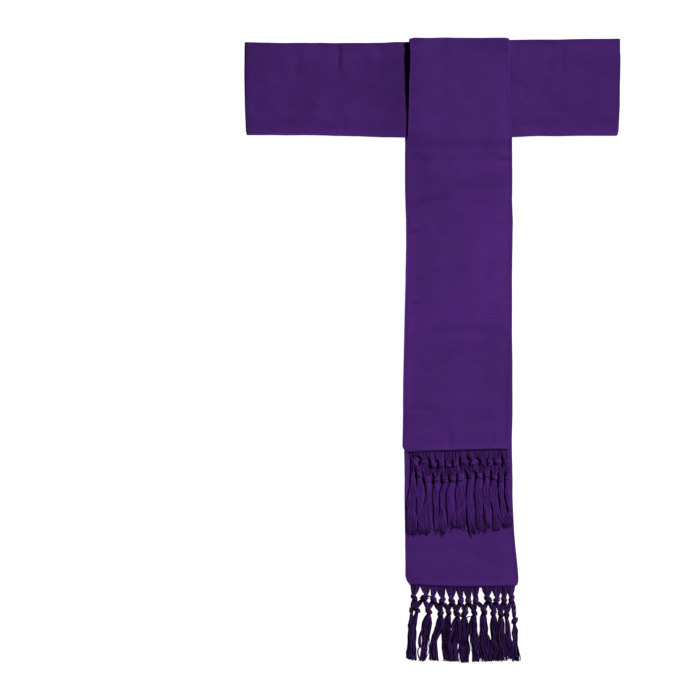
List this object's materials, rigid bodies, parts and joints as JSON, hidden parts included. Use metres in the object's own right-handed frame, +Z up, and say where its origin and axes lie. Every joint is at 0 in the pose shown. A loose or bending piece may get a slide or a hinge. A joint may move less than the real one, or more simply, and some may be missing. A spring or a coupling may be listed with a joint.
{
  "type": "band cincture",
  "caption": "Purple band cincture laid out flat: a wide waistband closed to a loop, and a folded tail strip whose short tail lies on a longer one, with hand-knotted tassel fringes at the hems.",
  "frame": {"origin": "middle of the garment's box, on the surface it rests on", "axes": "+Z up out of the cloth, +Y from the fringed tails to the waistband, +X along the waistband"},
  "size_m": [0.4019, 0.6673, 0.0113],
  "materials": {
    "cloth": "matte plain-weave poly-cotton, deep purple",
    "yarn": "twisted purple cotton yarn, slightly fuzzy"
  },
  "bodies": {
    "root": {"waist_back": "cloth", "waist_left": "cloth", "waist_right": "cloth", "tail_under": "cloth", "tail_front": "cloth", "fringe_under": "yarn", "fringe_front": "yarn"}
  },
  "joints": []
}
